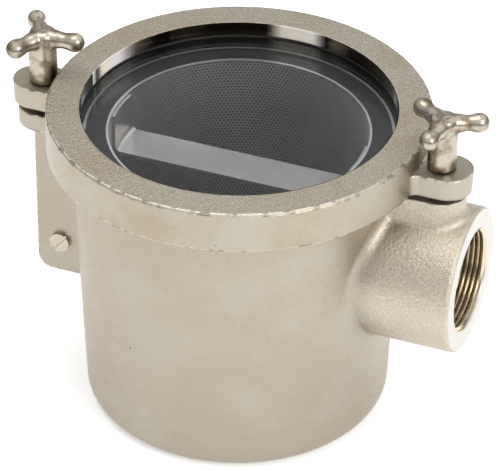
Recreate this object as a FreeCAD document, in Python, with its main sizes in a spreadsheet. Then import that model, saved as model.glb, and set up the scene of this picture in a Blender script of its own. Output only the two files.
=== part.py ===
"""Sea water strainer: a cast bronze pot with a side port and a threaded bottom port.

A cast cover ring clamps a glass disc onto the pot's rim, held by two studs with
three-armed hand nuts. A perforated basket hangs by its flange inside the pot.
Origin: centre of the base. +Z up, +X along the side port. Millimetres.
"""
import FreeCAD, Part
import math
import os
import Sketcher

DRIVING_SIZES = (
    # the threaded ports
    ("port_height", 86.0, "base to the side port's axis"),
    ("thread_radius", 23.9, "bore at the roots of the pipe thread"),
    ("thread_length", 24.0, "length of thread in each port"),
    ("thread_step", 3.4, "roots of the thread less the bore behind it"),
    ("thread_mouth", 0.4, "chamfer at the side port's mouth"),
    ("port_wall", 9.9, "wall of the side port"),
    ("port_lip", 1.6, "rounding of the side port's outer edge"),
    ("port_round", 6.0, "fillet between the side port and the pot"),
    ("port_overhang", 4.3, "right ear's end to the side port's face"),
    ("nozzle_wall", 6.1, "wall of the nozzle that stands on the floor"),
    ("nozzle_end", 10.0, "bottom thread's end to the nozzle's top"),
    # the pot
    ("rim_headroom", 14.7, "top of the side port to the pot's machined rim"),
    ("rim_land", 5.1, "flat of the rim round the basket's seat"),
    ("pot_taper", 5.4, "rim's outside radius less the base's"),
    ("pot_wall", 4.7, "wall of the pot at its base"),
    ("floor_thickness", 8.0, "floor of the pot"),
    ("base_round", 7.6, "rounding round the base"),
    ("cavity_round", 4.0, "rounding of the corners inside the pot"),
    # the cover ring and what it clamps
    ("ring_wall", 9.0, "wall of the cover ring round the glass"),
    ("lip_overlap", 6.0, "lip of the cover ring over the edge of the glass"),
    ("lip_thickness", 6.5, "lip of the cover ring"),
    ("skirt_overlap", 1.5, "how far the ring reaches below the rim"),
    ("ring_edge", 0.9, "edge break round the top of the cover ring"),
    ("glass_overhang", 1.5, "edge of the sight glass outside the rim"),
    ("glass_thickness", 8.7, "sight glass"),
    ("glass_edge", 0.8, "edge break of the sight glass"),
    ("glass_play", 0.5, "radial gap between the glass and the ring"),
    ("seal_thickness", 0.8, "seal between the glass and the lip"),
    ("gasket_thickness", 1.5, "gasket between the rim and the glass"),
    ("gasket_inset", 0.3, "gasket's inner edge outside the basket's seat"),
    # the ears and the studs
    ("stud_clear", 9.2, "outside of the cover ring to a stud's axis"),
    ("cover_ear_wall", 6.5, "cover's ear each side of its stud's hole"),
    ("cover_ear_tip", 3.1, "stud's axis to the centre of the cover ear's round end"),
    ("cover_ear_height", 10.2, "thickness of the cover's ears"),
    ("ear_draft", 1.5, "draft of the cover's ears, degrees"),
    ("ear_round", 4.0, "fillet where a cover's ear meets the ring"),
    ("body_ear_wall", 8.0, "pot's ear round its stud"),
    ("body_ear_height", 8.5, "thickness of the pot's ears"),
    ("ear_foot_round", 3.0, "fillet where the right ear grows out of the port"),
    ("ear_gap", 2.5, "gap between the two ears on a stud"),
    ("stud_radius", 4.0, "outside of the studs' thread"),
    ("stud_slack", 0.5, "radial clearance of the studs in the cover's ears"),
    ("stud_end_wall", 1.5, "ear left under a stud"),
    ("stud_bite", 15.0, "length of stud inside a hand nut"),
    ("stud_chamfer", 0.8, "chamfer at the ends of the studs"),
    # the hand nuts
    ("nut_play", 0.08, "radial clearance of the hand nuts on the studs"),
    ("nut_spare", 2.0, "blind bore of a hand nut beyond the stud"),
    ("column_wall", 2.48, "wall of a hand nut's column"),
    ("arm_rise", 5.6, "end of the blind bore to the arms' axis"),
    ("hub_rise", 4.4, "arms' axis to the top of the hub"),
    ("hub_round", 3.0, "rounding round the top of the hub"),
    ("dimple_radius", 2.6, "dimple in the top of the hub"),
    ("dimple_depth", 1.1, "dimple in the top of the hub"),
    ("arm_root_radius", 4.7, "arm at the hub"),
    ("arm_neck_radius", 3.7, "arm next to its ball"),
    ("arm_reach", 15.6, "stud's axis to the centre of an arm's ball"),
    ("ball_swell", 1.0, "ball's radius less the arm's neck"),
    ("left_nut_turn", 4.0, "turn of the left nut's first arm, degrees"),
    ("right_nut_turn", 24.5, "turn of the right nut's first arm, degrees"),
    # the web under the left ear and its bonding screw
    ("web_overhang", 3.8, "left stud's axis to the web's outer edge"),
    ("web_bottom", 40.8, "base to the web's lower edge"),
    ("web_thickness", 8.0, "web under the left ear"),
    ("web_corner", 7.0, "corner of the web"),
    ("web_round", 3.0, "fillet where the web meets the pot"),
    ("screw_inset", 11.6, "web's outer edge to the bonding screw"),
    ("screw_rise", 16.4, "web's lower edge to the bonding screw"),
    ("screw_radius", 3.0, "shank of the bonding screw"),
    ("screw_shoulder", 1.9, "head of the bonding screw outside its shank"),
    ("screw_head_height", 1.8, "head of the bonding screw"),
    ("screw_slot", 1.3, "width of the screw's slot"),
    ("screw_slot_depth", 1.1, "depth of the screw's slot"),
    ("screw_slot_turn", 50.0, "slope of the screw's slot, degrees"),
    # the basket
    ("basket_radius", 59.0, "inside of the basket's wall"),
    ("basket_sheet", 0.9, "sheet of the basket's wall and floor"),
    ("sieve_hole", 3.2, "radius of a hole in the basket's wall"),
    ("sieve_margin", 11.0, "basket's foot, or its skirt, to the nearest row of holes"),
    ("basket_lift", 8.0, "gap between the pot's floor and the basket's"),
    ("flange_width", 10.6, "flange of the basket outside its wall"),
    ("flange_thickness", 1.2, "flange of the basket"),
    ("flange_skirt", 6.0, "skirt of the flange round the wall"),
    ("flange_play", 0.4, "radial clearance of the flange in its seat"),
    ("ledge_width", 2.2, "ledge in the rim that carries the flange"),
    ("floor_rim", 6.0, "upturned edge of the basket's floor"),
    ("collar_height", 10.0, "collar of the basket's floor"),
    ("collar_play", 0.5, "radial clearance of the collar on the nozzle"),
    ("handle_width", 20.0, "strap handle"),
    ("handle_thickness", 1.5, "strap handle"),
    ("handle_drop", 21.0, "rim to the underside of the handle's span"),
    ("handle_bend", 4.0, "outer radius of the handle's bends"),
    ("weld_gap", 0.05, "gap between the handle's legs and the wall"),
)

# the sieve's holes: columns at each of two heights, and holes in a column
SIEVE_COLUMNS = 12
SIEVE_ROWS = 5

# radii, heights and reaches that follow from the driving sizes, each after what it needs
DERIVED_SIZES = (
    ("port_radius", "sizes.thread_radius + sizes.port_wall"),
    ("passage_radius", "sizes.thread_radius - sizes.thread_step"),
    ("nozzle_radius", "sizes.thread_radius + sizes.nozzle_wall"),
    ("nozzle_top", "sizes.thread_length + sizes.nozzle_end"),
    ("basket_outside", "sizes.basket_radius + sizes.basket_sheet"),
    ("flange_radius", "derived.basket_outside + sizes.flange_width"),
    ("seat_radius", "derived.flange_radius + sizes.flange_play"),
    ("rim_radius", "derived.seat_radius + sizes.rim_land"),
    ("base_radius", "derived.rim_radius - sizes.pot_taper"),
    ("glass_radius", "derived.rim_radius + sizes.glass_overhang"),
    ("window_radius", "derived.glass_radius - sizes.lip_overlap"),
    ("recess_radius", "derived.glass_radius + sizes.glass_play"),
    ("ring_radius", "derived.recess_radius + sizes.ring_wall"),
    ("stud_offset", "derived.ring_radius + sizes.stud_clear"),
    ("stud_hole_radius", "sizes.stud_radius + sizes.stud_slack"),
    ("cover_ear_radius", "derived.stud_hole_radius + sizes.cover_ear_wall"),
    ("cover_ear_end", "derived.stud_offset + sizes.cover_ear_tip"),
    ("body_ear_radius", "sizes.stud_radius + sizes.body_ear_wall"),
    ("port_reach", "derived.stud_offset + derived.body_ear_radius + sizes.port_overhang"),
    ("rim_height", "sizes.port_height + derived.port_radius + sizes.rim_headroom"),
    ("ledge_height", "derived.rim_height - sizes.flange_thickness"),
    ("glass_foot", "derived.rim_height + sizes.gasket_thickness"),
    ("glass_top", "derived.glass_foot + sizes.glass_thickness"),
    ("lip_foot", "derived.glass_top + sizes.seal_thickness"),
    ("ring_top", "derived.lip_foot + sizes.lip_thickness"),
    ("ring_foot", "derived.rim_height - sizes.skirt_overlap"),
    ("ear_top", "derived.ring_foot + sizes.cover_ear_height"),
    ("body_ear_top", "derived.ring_foot - sizes.ear_gap"),
    ("body_ear_foot", "derived.body_ear_top - sizes.body_ear_height"),
    ("stud_foot", "derived.body_ear_foot + sizes.stud_end_wall"),
    ("stud_head", "derived.ear_top + sizes.stud_bite"),
    ("nut_bore_radius", "sizes.stud_radius + sizes.nut_play"),
    ("column_radius", "derived.nut_bore_radius + sizes.column_wall"),
    ("ball_radius", "sizes.arm_neck_radius + sizes.ball_swell"),
    ("nut_bore_end", "derived.stud_head + sizes.nut_spare"),
    ("arm_level", "derived.nut_bore_end + sizes.arm_rise"),
    ("hub_top", "derived.arm_level + sizes.hub_rise"),
    ("web_edge", "derived.stud_offset + sizes.web_overhang"),
    ("screw_offset", "derived.web_edge - sizes.screw_inset"),
    ("screw_height", "sizes.web_bottom + sizes.screw_rise"),
    ("basket_foot", "sizes.floor_thickness + sizes.basket_lift"),
    ("handle_foot", "derived.rim_height - sizes.handle_drop"),
)

doc = FreeCAD.newDocument("sea_water_strainer")
sheet = doc.addObject("Spreadsheet::Sheet", "sizes")
for row, (alias, value, note) in enumerate(DRIVING_SIZES, start=1):
    sheet.set(f"A{row}", alias)
    sheet.set(f"B{row}", str(value))
    sheet.set(f"C{row}", note)
    sheet.setAlias(f"B{row}", alias)
doc.recompute()
derived = doc.addObject("App::VarSet", "derived")
for name, formula in DERIVED_SIZES:
    derived.addProperty("App::PropertyFloat", name, "Derived")
    derived.setExpression(name, formula)
doc.recompute()


def size(name):
    """The value of a driving or a derived size."""
    if name in derived.PropertiesList:
        return float(getattr(derived, name))
    return float(sheet.get(name))


def new_body(label):
    body = doc.addObject("PartDesign::Body", label)
    body.Label = label
    return body


def origin_plane(body, role):
    return next(item for item in body.Origin.OriginFeatures if item.Role == role)


def new_sketch(body, name, role, raised=None):
    """A sketch on one of the body's origin planes, moved along its normal by raised."""
    sketch = body.newObject("Sketcher::SketchObject", name)
    sketch.AttachmentSupport = [(origin_plane(body, role), "")]
    sketch.MapMode = "FlatFace"
    if raised is not None:
        sketch.setExpression("AttachmentOffset.Base.z", raised)
    return sketch


def bind(sketch, constraint, formula):
    """Add a constraint whose value follows a formula."""
    row = sketch.addConstraint(constraint)
    sketch.setExpression(f"Constraints[{row}]", formula)


def place(sketch, geometry, point, across, up):
    """Hold a point of the sketch at across, up from its origin."""
    for kind, distance, axis in (("DistanceX", across, -2), ("DistanceY", up, -1)):
        if distance == "0":
            sketch.addConstraint(Sketcher.Constraint("PointOnObject", geometry, point, axis))
        else:
            spot = sketch.getPoint(geometry, point)
            start = spot.x if kind == "DistanceX" else spot.y
            bind(sketch, Sketcher.Constraint(kind, -1, 1, geometry, point, start), distance)


def polygon(sketch, corners):
    """A closed outline of straight lines, each corner given by two formulas."""
    count = len(corners)
    circle = [
        FreeCAD.Vector(math.cos(math.tau * k / count), math.sin(math.tau * k / count), 0)
        for k in range(count)
    ]
    for k in range(count):
        sketch.addGeometry(Part.LineSegment(circle[k], circle[(k + 1) % count]), False)
    for k in range(count):
        sketch.addConstraint(Sketcher.Constraint("Coincident", k, 2, (k + 1) % count, 1))
    for k, (across, up) in enumerate(corners):
        place(sketch, k, 1, across, up)


def disc(sketch, across, up, radius):
    """A circle held at across, up from the sketch's origin."""
    circle = Part.Circle(FreeCAD.Vector(1, 1, 0), FreeCAD.Vector(0, 0, 1), 1)
    index = sketch.addGeometry(circle, False)
    bind(sketch, Sketcher.Constraint("Radius", index, 1.0), radius)
    place(sketch, index, 3, across, up)


def tongue(sketch, side, end, radius, root):
    """An ear's outline: a round end and straight sides back to root."""
    x, r, x0 = side * size(end), size(radius), side * size(root)
    circle = Part.Circle(FreeCAD.Vector(x, 0, 0), FreeCAD.Vector(0, 0, 1), r)
    turn = 0 if side > 0 else math.pi
    tip = sketch.addGeometry(Part.ArcOfCircle(circle, turn - math.pi / 2, turn + math.pi / 2), False)
    ends = [(x, side * r), (x0, side * r), (x0, -side * r), (x, -side * r)]
    ends = [FreeCAD.Vector(across, up, 0) for across, up in ends]
    lines = [sketch.addGeometry(Part.LineSegment(ends[k], ends[k + 1]), False) for k in range(3)]
    sketch.addConstraint(Sketcher.Constraint("Tangent", tip, 2, lines[0], 1))
    sketch.addConstraint(Sketcher.Constraint("Coincident", lines[0], 2, lines[1], 1))
    sketch.addConstraint(Sketcher.Constraint("Coincident", lines[1], 2, lines[2], 1))
    sketch.addConstraint(Sketcher.Constraint("Tangent", lines[2], 2, tip, 1))
    sketch.addConstraint(Sketcher.Constraint("Horizontal", lines[0]))
    sketch.addConstraint(Sketcher.Constraint("Vertical", lines[1]))
    sketch.addConstraint(Sketcher.Constraint("PointOnObject", tip, 3, -1))
    bind(sketch, Sketcher.Constraint("Radius", tip, r), f"derived.{radius}")
    bind(sketch, Sketcher.Constraint("DistanceX", -1, 1, lines[1], 1, x0), f"{side} * derived.{root}")
    bind(sketch, Sketcher.Constraint("DistanceX", -1, 1, tip, 3, x), f"{side} * derived.{end}")


def revolve(body, name, sketch, kind="PartDesign::Revolution", axis="V_Axis"):
    feature = body.newObject(kind, name)
    feature.Profile = sketch
    feature.ReferenceAxis = (sketch, [axis])
    feature.Angle = 360
    return feature


def pad(body, name, sketch, length, both_ways=False):
    feature = body.newObject("PartDesign::Pad", name)
    feature.Profile = sketch
    if both_ways:
        feature.SideType = "Symmetric"
    feature.setExpression("Length", length)
    return feature


def pocket(body, name, sketch, length, both_ways=False, upward=False):
    """A cut against the sketch's normal, or along it when upward."""
    feature = body.newObject("PartDesign::Pocket", name)
    feature.Profile = sketch
    if both_ways:
        feature.SideType = "Symmetric"
    feature.Reversed = upward
    feature.setExpression("Length", length)
    return feature


def near(first, second, reach=0.02):
    return abs(first - second) < reach


def ease(body, name, test, amount, kind="PartDesign::Fillet"):
    """Round, or chamfer, those edges of the body so far whose points all pass the test."""
    doc.recompute()
    names = []
    for number, edge in enumerate(body.Tip.Shape.Edges, start=1):
        low, high = edge.ParameterRange
        points = [edge.valueAt(low + (high - low) * share) for share in (0.07, 0.31, 0.5, 0.83, 0.97)]
        if all(test(point) for point in points):
            names.append(f"Edge{number}")
    base = body.Tip
    feature = body.newObject(kind, name)
    feature.Base = (base, names)
    feature.setExpression("Radius" if kind.endswith("Fillet") else "Size", amount)
    return feature


def from_axis(point):
    """Distance of a point from the pot's axis."""
    return math.hypot(point.x, point.y)


def from_port_axis(point):
    return math.hypot(point.y, point.z - size("port_height"))


def on_pot(point):
    """Whether a point lies on the tapered outside of the pot."""
    slope = size("pot_taper") / size("rim_height")
    return near(from_axis(point), size("base_radius") + slope * point.z)


def strainer_body():
    """The cast pot with its ports, ears, web, nozzle and machined seats."""
    body = new_body("strainer_body")

    outside = new_sketch(body, "pot_outside", "XZ_Plane")
    rim = "derived.rim_height"
    polygon(outside, [("0", "0"), ("derived.base_radius", "0"), ("derived.rim_radius", rim), ("0", rim)])
    revolve(body, "pot", outside)
    ease(body, "base_edge", lambda p: near(p.z, 0), "sizes.base_round")

    boss = new_sketch(body, "port_outline", "YZ_Plane")
    disc(boss, "0", "sizes.port_height", "derived.port_radius")
    pad(body, "side_port", boss, "derived.port_reach")
    ease(
        body, "port_root",
        lambda p: on_pot(p) and near(from_port_axis(p), size("port_radius")), "sizes.port_round",
    )

    # the left ear stands free over its web, the right one grows out of the port
    for side, name, foot in (
        (-1, "left", "derived.body_ear_foot"),
        (1, "right", "(sizes.port_height + derived.port_radius / 2)"),
    ):
        ear = new_sketch(body, f"{name}_ear_outline", "XY_Plane", foot)
        tongue(ear, side, "stud_offset", "body_ear_radius", "base_radius")
        pad(body, f"{name}_ear", ear, f"derived.body_ear_top - {foot}")
    ease(
        body, "right_ear_root",
        lambda p: p.x > size("ring_radius") - 4 and near(from_port_axis(p), size("port_radius"), 0.05)
        and p.z > size("port_height") + size("port_radius") / 2,
        "sizes.ear_foot_round",
    )

    web = new_sketch(body, "web_outline", "XZ_Plane")
    root = "-(derived.base_radius - sizes.pot_wall / 2)"
    edge = "-derived.web_edge"
    ear_middle = "derived.body_ear_top - sizes.body_ear_height / 2"
    polygon(web, [
        (root, ear_middle), (edge, ear_middle), (edge, "sizes.web_bottom"), (root, "sizes.web_bottom"),
    ])
    pad(body, "web", web, "sizes.web_thickness", both_ways=True)
    ease(
        body, "web_corner",
        lambda p: near(p.x, -size("web_edge")) and near(p.z, size("web_bottom")), "sizes.web_corner",
    )
    ease(
        body, "web_root",
        lambda p: on_pot(p) and near(abs(p.y), size("web_thickness") / 2) and p.x < 0, "sizes.web_round",
    )

    hollow = new_sketch(body, "cavity_outline", "XZ_Plane")
    polygon(hollow, [
        ("0", "derived.nozzle_top"),
        ("derived.nozzle_radius", "derived.nozzle_top"),
        ("derived.nozzle_radius", "sizes.floor_thickness"),
        ("derived.base_radius - sizes.pot_wall", "sizes.floor_thickness"),
        ("derived.seat_radius - sizes.ledge_width", "derived.ledge_height"),
        ("derived.seat_radius", "derived.ledge_height"),
        ("derived.seat_radius", rim),
        ("0", rim),
    ])
    revolve(body, "cavity", hollow, "PartDesign::Groove")
    ease(
        body, "cavity_corners",
        lambda p: near(p.z, size("floor_thickness")) and from_axis(p) > size("nozzle_radius") - 1,
        "sizes.cavity_round",
    )

    up = "XY_Plane"
    for name, role, raised, height, depth in (
        ("bottom", up, None, "0", "derived.nozzle_top"),
        ("side", "YZ_Plane", "derived.port_reach", "sizes.port_height",
         "derived.port_reach - derived.base_radius / 2"),
    ):
        thread = new_sketch(body, f"{name}_thread_circle", role, raised)
        disc(thread, "0", height, "sizes.thread_radius")
        pocket(body, f"{name}_thread_bore", thread, "sizes.thread_length", upward=role == up)
        passage = new_sketch(body, f"{name}_passage_circle", role, raised)
        disc(passage, "0", height, "derived.passage_radius")
        pocket(body, f"{name}_passage", passage, depth, upward=role == up)

    def at_mouth(p, radius):
        return near(p.x, size("port_reach")) and near(from_port_axis(p), size(radius))

    ease(
        body, "side_thread_mouth", lambda p: at_mouth(p, "thread_radius"),
        "sizes.thread_mouth", "PartDesign::Chamfer",
    )
    ease(body, "side_port_lip", lambda p: at_mouth(p, "port_radius"), "sizes.port_lip")

    studs = new_sketch(body, "stud_circles", "XY_Plane", "derived.body_ear_top")
    disc(studs, "derived.stud_offset", "0", "sizes.stud_radius")
    disc(studs, "-derived.stud_offset", "0", "sizes.stud_radius")
    pocket(body, "stud_holes", studs, "derived.body_ear_top - derived.stud_foot")

    screw = new_sketch(body, "screw_circle", "XZ_Plane")
    disc(screw, "-derived.screw_offset", "derived.screw_height", "sizes.screw_radius")
    pocket(body, "screw_hole", screw, "sizes.web_thickness * 1.5", both_ways=True)
    return body


def cover_ring():
    """The cast ring over the glass, with an ear at each stud."""
    body = new_body("cover_ring")
    section = new_sketch(body, "ring_section", "XZ_Plane")
    polygon(section, [
        ("derived.recess_radius", "derived.ring_foot"),
        ("derived.ring_radius", "derived.ring_foot"),
        ("derived.ring_radius", "derived.ring_top"),
        ("derived.window_radius", "derived.ring_top"),
        ("derived.window_radius", "derived.lip_foot"),
        ("derived.recess_radius", "derived.lip_foot"),
    ])
    revolve(body, "ring", section)
    for side, name in ((-1, "left"), (1, "right")):
        outline = new_sketch(body, f"{name}_ear_outline", "XY_Plane", "derived.ring_foot")
        tongue(outline, side, "cover_ear_end", "cover_ear_radius", "glass_radius")
        ear = pad(body, f"{name}_ear", outline, "sizes.cover_ear_height")
        ear.setExpression("TaperAngle", "sizes.ear_draft")

    recess = new_sketch(body, "recess_circle", "XY_Plane", "derived.ring_foot")
    disc(recess, "0", "0", "derived.recess_radius")
    pocket(body, "recess", recess, "derived.lip_foot - derived.ring_foot", upward=True)

    holes = new_sketch(body, "stud_circles", "XY_Plane", "derived.ring_foot")
    disc(holes, "derived.stud_offset", "0", "derived.stud_hole_radius")
    disc(holes, "-derived.stud_offset", "0", "derived.stud_hole_radius")
    pocket(body, "stud_holes", holes, "sizes.cover_ear_height", upward=True)

    def on_side(p):
        return near(from_axis(p), size("ring_radius"))

    ease(body, "ear_roots", lambda p: on_side(p) and 5 < abs(p.y) < 20, "sizes.ear_round")
    ease(
        body, "top_edge", lambda p: near(p.z, size("ring_top")) and on_side(p),
        "sizes.ring_edge", "PartDesign::Chamfer",
    )
    return body


def sight_glass():
    """A clear disc with its edges broken."""
    body = new_body("sight_glass")
    outline = new_sketch(body, "glass_circle", "XY_Plane", "derived.glass_foot")
    disc(outline, "0", "0", "derived.glass_radius")
    pad(body, "glass", outline, "sizes.glass_thickness")
    ease(
        body, "glass_edges",
        lambda p: near(p.z, size("glass_foot")) or near(p.z, size("glass_top")),
        "sizes.glass_edge", "PartDesign::Chamfer",
    )
    return body


def flat_ring(label, foot, thickness, inner, outer):
    """A ring of rectangular section between two radii."""
    body = new_body(label)
    section = new_sketch(body, "ring_circles", "XY_Plane", foot)
    disc(section, "0", "0", outer)
    disc(section, "0", "0", inner)
    pad(body, "ring", section, thickness)
    return body


def stud(label, side):
    """A stud screwed into the pot's ear."""
    body = new_body(label)
    body.setExpression("Placement.Base.x", f"{side} * derived.stud_offset")
    section = new_sketch(body, "stud_section", "XZ_Plane")
    end_radius = "sizes.stud_radius - sizes.stud_chamfer"
    polygon(section, [
        ("0", "derived.stud_foot"),
        (end_radius, "derived.stud_foot"),
        ("sizes.stud_radius", "derived.stud_foot + sizes.stud_chamfer"),
        ("sizes.stud_radius", "derived.stud_head - sizes.stud_chamfer"),
        (end_radius, "derived.stud_head"),
        ("0", "derived.stud_head"),
    ])
    revolve(body, "stud", section)
    return body


def hand_nut(label, side, turn):
    """A hand nut: a column with a blind bore, a dimpled hub and three arms with balls."""
    body = new_body(label)
    section = new_sketch(body, "column_section", "XZ_Plane")
    polygon(section, [
        ("derived.nut_bore_radius", "derived.ear_top"),
        ("derived.column_radius", "derived.ear_top"),
        ("derived.column_radius", "derived.hub_top"),
        ("0", "derived.hub_top"),
        ("0", "derived.nut_bore_end"),
        ("derived.nut_bore_radius", "derived.nut_bore_end"),
    ])
    revolve(body, "column", section)
    ease(body, "hub_edge", lambda p: near(p.z, size("hub_top")), "sizes.hub_round")

    outline = new_sketch(body, "arm_outline", "XZ_Plane")
    outline.setExpression("AttachmentOffset.Base.y", "derived.arm_level")
    arm_outline(outline)
    arm = revolve(body, "arm", outline, axis="Axis0")
    star = body.newObject("PartDesign::PolarPattern", "arms")
    star.Originals = [arm]
    star.Axis = (section, ["V_Axis"])
    star.Angle = 360
    star.Occurrences = 3
    body.Tip = star
    doc.recompute()

    dimple = new_sketch(body, "dimple_section", "XZ_Plane")
    polygon(dimple, [
        ("0", "derived.hub_top - sizes.dimple_depth"),
        ("sizes.dimple_radius", "derived.hub_top"),
        ("sizes.dimple_radius", "derived.hub_top + sizes.dimple_depth"),
        ("0", "derived.hub_top + sizes.dimple_depth"),
    ])
    revolve(body, "dimple", dimple, "PartDesign::Groove")

    body.setExpression("Placement.Base.x", f"{side} * derived.stud_offset")
    body.setExpression("Placement.Rotation.Angle", turn)
    return body


def arm_outline(sketch):
    """Half the section of an arm and its ball, with the arm's axis as Axis0."""
    root, neck, ball = size("arm_root_radius"), size("arm_neck_radius"), size("ball_radius")
    reach = size("arm_reach")
    meeting = reach - math.sqrt(ball ** 2 - neck ** 2)
    corners = [(0, 0), (0, root), (meeting, neck), (reach + ball, 0)]
    corners = [FreeCAD.Vector(across, up, 0) for across, up in corners]
    circle = Part.Circle(FreeCAD.Vector(reach, 0, 0), FreeCAD.Vector(0, 0, 1), ball)
    sketch.addGeometry(Part.LineSegment(corners[0], corners[1]), False)
    sketch.addGeometry(Part.LineSegment(corners[1], corners[2]), False)
    sketch.addGeometry(Part.ArcOfCircle(circle, 0, math.atan2(neck, meeting - reach)), False)
    sketch.addGeometry(Part.LineSegment(corners[3], corners[0]), False)
    for first, end, second, start in ((0, 2, 1, 1), (1, 2, 2, 2), (2, 1, 3, 1), (3, 2, 0, 1)):
        sketch.addConstraint(Sketcher.Constraint("Coincident", first, end, second, start))
    place(sketch, 0, 1, "0", "0")
    place(sketch, 0, 2, "0", "sizes.arm_root_radius")
    place(sketch, 2, 3, "sizes.arm_reach", "0")
    sketch.addConstraint(Sketcher.Constraint("PointOnObject", 2, 1, -1))
    bind(sketch, Sketcher.Constraint("Radius", 2, ball), "derived.ball_radius")
    bind(sketch, Sketcher.Constraint("DistanceY", -1, 1, 1, 2, neck), "sizes.arm_neck_radius")
    axis = Part.LineSegment(FreeCAD.Vector(-1, 0, 0), FreeCAD.Vector(1, 0, 0))
    line = sketch.addGeometry(axis, True)
    sketch.addConstraint(Sketcher.Constraint("PointOnObject", line, 1, -1))
    sketch.addConstraint(Sketcher.Constraint("PointOnObject", line, 2, -1))


def bonding_screw():
    """A slotted screw in the web's tapped hole."""
    body = new_body("bonding_screw")
    facing = FreeCAD.Rotation(FreeCAD.Vector(1, 0, 0), 90)
    body.Placement = FreeCAD.Placement(FreeCAD.Vector(0, 0, 0), facing)
    body.setExpression("Placement.Base.x", "-derived.screw_offset")
    body.setExpression("Placement.Base.y", "-sizes.web_thickness / 2")
    body.setExpression("Placement.Base.z", "derived.screw_height")
    section = new_sketch(body, "screw_section", "XZ_Plane")
    head_radius = "(sizes.screw_radius + sizes.screw_shoulder)"
    polygon(section, [
        ("0", "-sizes.web_thickness"),
        ("sizes.screw_radius", "-sizes.web_thickness"),
        ("sizes.screw_radius", "0"),
        (head_radius, "0"),
        (head_radius, "sizes.screw_head_height"),
        ("0", "sizes.screw_head_height"),
    ])
    revolve(body, "screw", section)
    slot = new_sketch(body, "slot_outline", "XY_Plane", "sizes.screw_head_height")
    half_width = "sizes.screw_slot / 2"
    half_length = f"{head_radius} * 1.2"
    polygon(slot, [
        (f"-{half_length}", f"-{half_width}"), (half_length, f"-{half_width}"),
        (half_length, half_width), (f"-{half_length}", half_width),
    ])
    slot.setExpression("AttachmentOffset.Rotation.Angle", "sizes.screw_slot_turn")
    pocket(body, "slot", slot, "sizes.screw_slot_depth")
    return body


def basket_flange():
    """A pressed ring that hangs in the rim's seat, with a skirt round the wall."""
    body = new_body("basket_flange")
    section = new_sketch(body, "flange_section", "XZ_Plane")
    skirt_radius = "derived.basket_outside + sizes.basket_sheet"
    skirt_foot = "derived.ledge_height - sizes.flange_skirt"
    polygon(section, [
        ("derived.basket_outside", "derived.rim_height"),
        ("derived.basket_outside", skirt_foot),
        (skirt_radius, skirt_foot),
        (skirt_radius, "derived.ledge_height"),
        ("derived.flange_radius", "derived.ledge_height"),
        ("derived.flange_radius", "derived.rim_height"),
    ])
    revolve(body, "flange", section)
    return body


def basket_wall():
    """The rolled wall, its sieve drawn as staggered columns of larger holes."""
    body = new_body("basket_wall")
    section = new_sketch(body, "wall_circles", "XY_Plane", "derived.basket_foot")
    disc(section, "0", "0", "derived.basket_outside")
    disc(section, "0", "0", "sizes.basket_radius")
    pad(body, "wall", section, "derived.rim_height - derived.basket_foot")

    low = "(derived.basket_foot + sizes.sieve_margin)"
    high = "(derived.ledge_height - sizes.flange_skirt - sizes.sieve_margin)"
    for name, turn, first in (("even", 0, 0), ("odd", 180 / SIEVE_COLUMNS, 1)):
        column = new_sketch(body, f"{name}_column", "XZ_Plane")
        column.AttachmentOffset = FreeCAD.Placement(
            FreeCAD.Vector(0, 0, 0), FreeCAD.Rotation(FreeCAD.Vector(0, 1, 0), turn)
        )
        for row in range(first, 2 * SIEVE_ROWS, 2):
            share = row / (2 * SIEVE_ROWS - 1)
            disc(column, "0", f"{low} + ({high} - {low}) * {share:.6f}", "sizes.sieve_hole")
        holes = pocket(body, f"{name}_holes", column, "derived.basket_outside * 1.1")
        around = body.newObject("PartDesign::PolarPattern", f"{name}_columns")
        around.Originals = [holes]
        around.Axis = (column, ["V_Axis"])
        around.Angle = 360
        around.Occurrences = SIEVE_COLUMNS
        body.Tip = around
        doc.recompute()
    return body


def basket_floor():
    """A pressed annular floor with an upturned edge and a collar round the nozzle."""
    body = new_body("basket_floor")
    section = new_sketch(body, "floor_section", "XZ_Plane")
    inside = "(derived.nozzle_radius + sizes.collar_play)"
    collar = f"{inside} + sizes.basket_sheet"
    plate = "derived.basket_foot + sizes.basket_sheet"
    edge_inside = "sizes.basket_radius - sizes.basket_sheet"
    edge_top = "derived.basket_foot + sizes.floor_rim"
    collar_top = "derived.basket_foot + sizes.collar_height"
    polygon(section, [
        (inside, "derived.basket_foot"),
        ("sizes.basket_radius", "derived.basket_foot"),
        ("sizes.basket_radius", edge_top),
        (edge_inside, edge_top),
        (edge_inside, plate),
        (collar, plate),
        (collar, collar_top),
        (inside, collar_top),
    ])
    revolve(body, "floor", section)
    return body


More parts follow.
